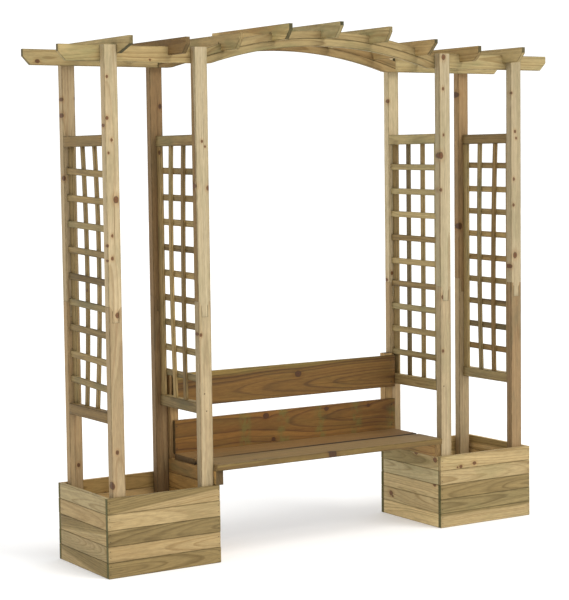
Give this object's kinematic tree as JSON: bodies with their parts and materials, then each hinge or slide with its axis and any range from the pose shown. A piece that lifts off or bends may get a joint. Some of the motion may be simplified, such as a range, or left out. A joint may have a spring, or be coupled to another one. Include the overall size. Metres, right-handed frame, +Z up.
{
  "type": "arbour seat",
  "caption": "Timber arbour seat: a bench with a boarded back between planter boxes, under trellis sides and a bowed roof of notched rafters.",
  "frame": {"origin": "on the ground, halfway between the two planters and halfway between their front and back faces", "axes": "+X to the right along the bench as seen from the front, +Y to the rear, +Z up; the front where a sitter's legs are is -Y"},
  "size_m": [2.67, 0.7, 2.4137],
  "materials": {
    "post_timber": "sawn pressure-treated softwood, pale straw with olive cast",
    "planter_boards": "sawn pressure-treated softwood boards, straw to olive",
    "roof_timber": "sawn pressure-treated softwood, yellow straw",
    "trellis_laths": "sawn pressure-treated softwood laths, olive grey",
    "bench_timber": "planed pressure-treated softwood, brown",
    "backrest_boards": "planed pressure-treated softwood, mid brown with green blotches",
    "planter_floor": "plain sheet timber"
  },
  "bodies": {
    "root": {"arch_front": "roof_timber", "arch_rear": "roof_timber", "backrest_batten_left": "bench_timber", "backrest_batten_right": "bench_timber", "backrest_board_lower": "backrest_boards", "backrest_board_upper": "backrest_boards", "beam_left_front": "roof_timber", "beam_left_rear": "roof_timber", "beam_right_front": "roof_timber", "beam_right_rear": "roof_timber", "planter_left_bench_wall": "planter_boards", "planter_left_floor": "planter_floor", "planter_left_front_wall": "planter_boards", "planter_left_outer_wall": "planter_boards", "planter_left_rear_wall": "planter_boards", "planter_right_bench_wall": "planter_boards", "planter_right_floor": "planter_floor", "planter_right_front_wall": "planter_boards", "planter_right_outer_wall": "planter_boards", "planter_right_rear_wall": "planter_boards", "post_left_inner_front_lower": "post_timber", "post_left_inner_front_upper": "post_timber", "post_left_inner_rear_lower": "post_timber", "post_left_inner_rear_upper": "post_timber", "post_left_outer_front_lower": "post_timber", "post_left_outer_front_upper": "post_timber", "post_left_outer_rear_lower": "post_timber", "post_left_outer_rear_upper": "post_timber", "post_right_inner_front_lower": "post_timber", "post_right_inner_front_upper": "post_timber", "post_right_inner_rear_lower": "post_timber", "post_right_inner_rear_upper": "post_timber", "post_right_outer_front_lower": "post_timber", "post_right_outer_front_upper": "post_timber", "post_right_outer_rear_lower": "post_timber", "post_right_outer_rear_upper": "post_timber", "rafter_1": "roof_timber", "rafter_2": "roof_timber", "rafter_3": "roof_timber", "rafter_4": "roof_timber", "rafter_5": "roof_timber", "rafter_6": "roof_timber", "rafter_7": "roof_timber", "rafter_8": "roof_timber", "rafter_9": "roof_timber", "seat_bearer_left": "bench_timber", "seat_bearer_right": "bench_timber", "seat_plank_front": "bench_timber", "seat_plank_rear": "bench_timber", "trellis_left_inner": "trellis_laths", "trellis_left_outer": "trellis_laths", "trellis_right_inner": "trellis_laths", "trellis_right_outer": "trellis_laths"}
  },
  "joints": []
}
